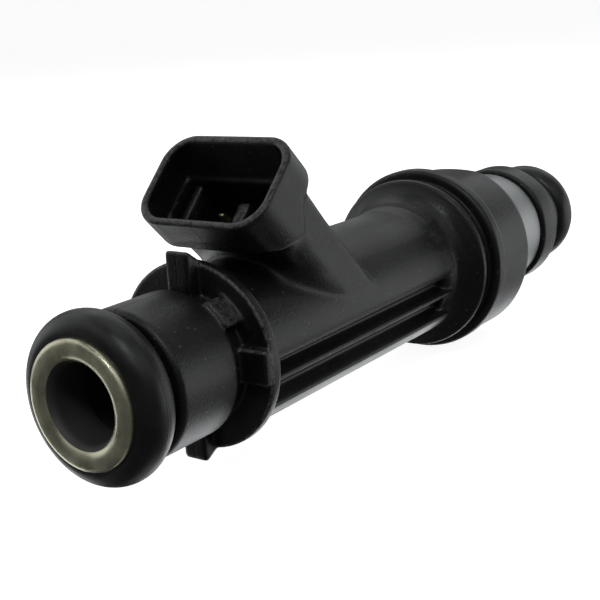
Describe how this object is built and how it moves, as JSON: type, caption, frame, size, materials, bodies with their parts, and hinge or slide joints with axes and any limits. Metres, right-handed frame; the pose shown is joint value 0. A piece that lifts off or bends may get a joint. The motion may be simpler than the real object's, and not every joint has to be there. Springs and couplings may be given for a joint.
{
  "type": "fuel injector",
  "caption": "Top-feed fuel injector with a lipped inlet tube, O-ring seals, an angled two-pin connector, and a spring-returned solenoid valve inside.",
  "frame": {"origin": "centre of the inlet lip's front face, on the injector's own axis", "axes": "+X along the injector's axis from the fuel inlet to the nozzle, +Z towards the side that the connector stands on, +Y across"},
  "size_m": [0.087, 0.0206, 0.0286],
  "materials": {
    "moulded_nylon": "satin black glass-filled nylon",
    "seal_rubber": "matte black rubber",
    "zinc_steel": "yellowish zinc plating, worn bright",
    "grey_steel": "satin pale grey",
    "magnetic_steel": "machined",
    "gold_plate": "gold plated",
    "copper_wire": "enamelled copper",
    "filter_brass": "satin",
    "filter_nylon": "natural nylon"
  },
  "bodies": {
    "body": {"moulded_body": "moulded_nylon", "coil_cover": "moulded_nylon", "seal_sleeve": "moulded_nylon", "nozzle_cap": "moulded_nylon", "inlet_seal": "seal_rubber", "nozzle_seal": "seal_rubber", "inlet_tube": "zinc_steel", "filter_collar": "filter_brass", "filter_basket": "filter_nylon", "coil_bobbin": "filter_nylon", "pole_piece": "magnetic_steel", "flux_washer": "magnetic_steel", "valve_seat": "magnetic_steel", "preload_tube": "grey_steel", "return_spring": "grey_steel", "gap_sleeve": "grey_steel", "valve_body": "grey_steel", "stem_guide": "grey_steel", "orifice_plate": "grey_steel", "plate_ring": "grey_steel", "terminal_left": "gold_plate", "terminal_right": "gold_plate", "coil_winding": "copper_wire", "coil_lead_left": "copper_wire", "coil_lead_right": "copper_wire"},
    "valve": {"armature": "magnetic_steel", "valve_stem": "grey_steel", "valve_ball": "grey_steel"}
  },
  "joints": [
    {"name": "valve_lift", "type": "slide", "parent": "body", "child": "valve", "axis": [-1, 0, 0], "range_m": [0, 0.0001], "stiffness_N_per_m": 1500, "springref_m": -0.002, "deforming": ["return_spring"]}
  ]
}
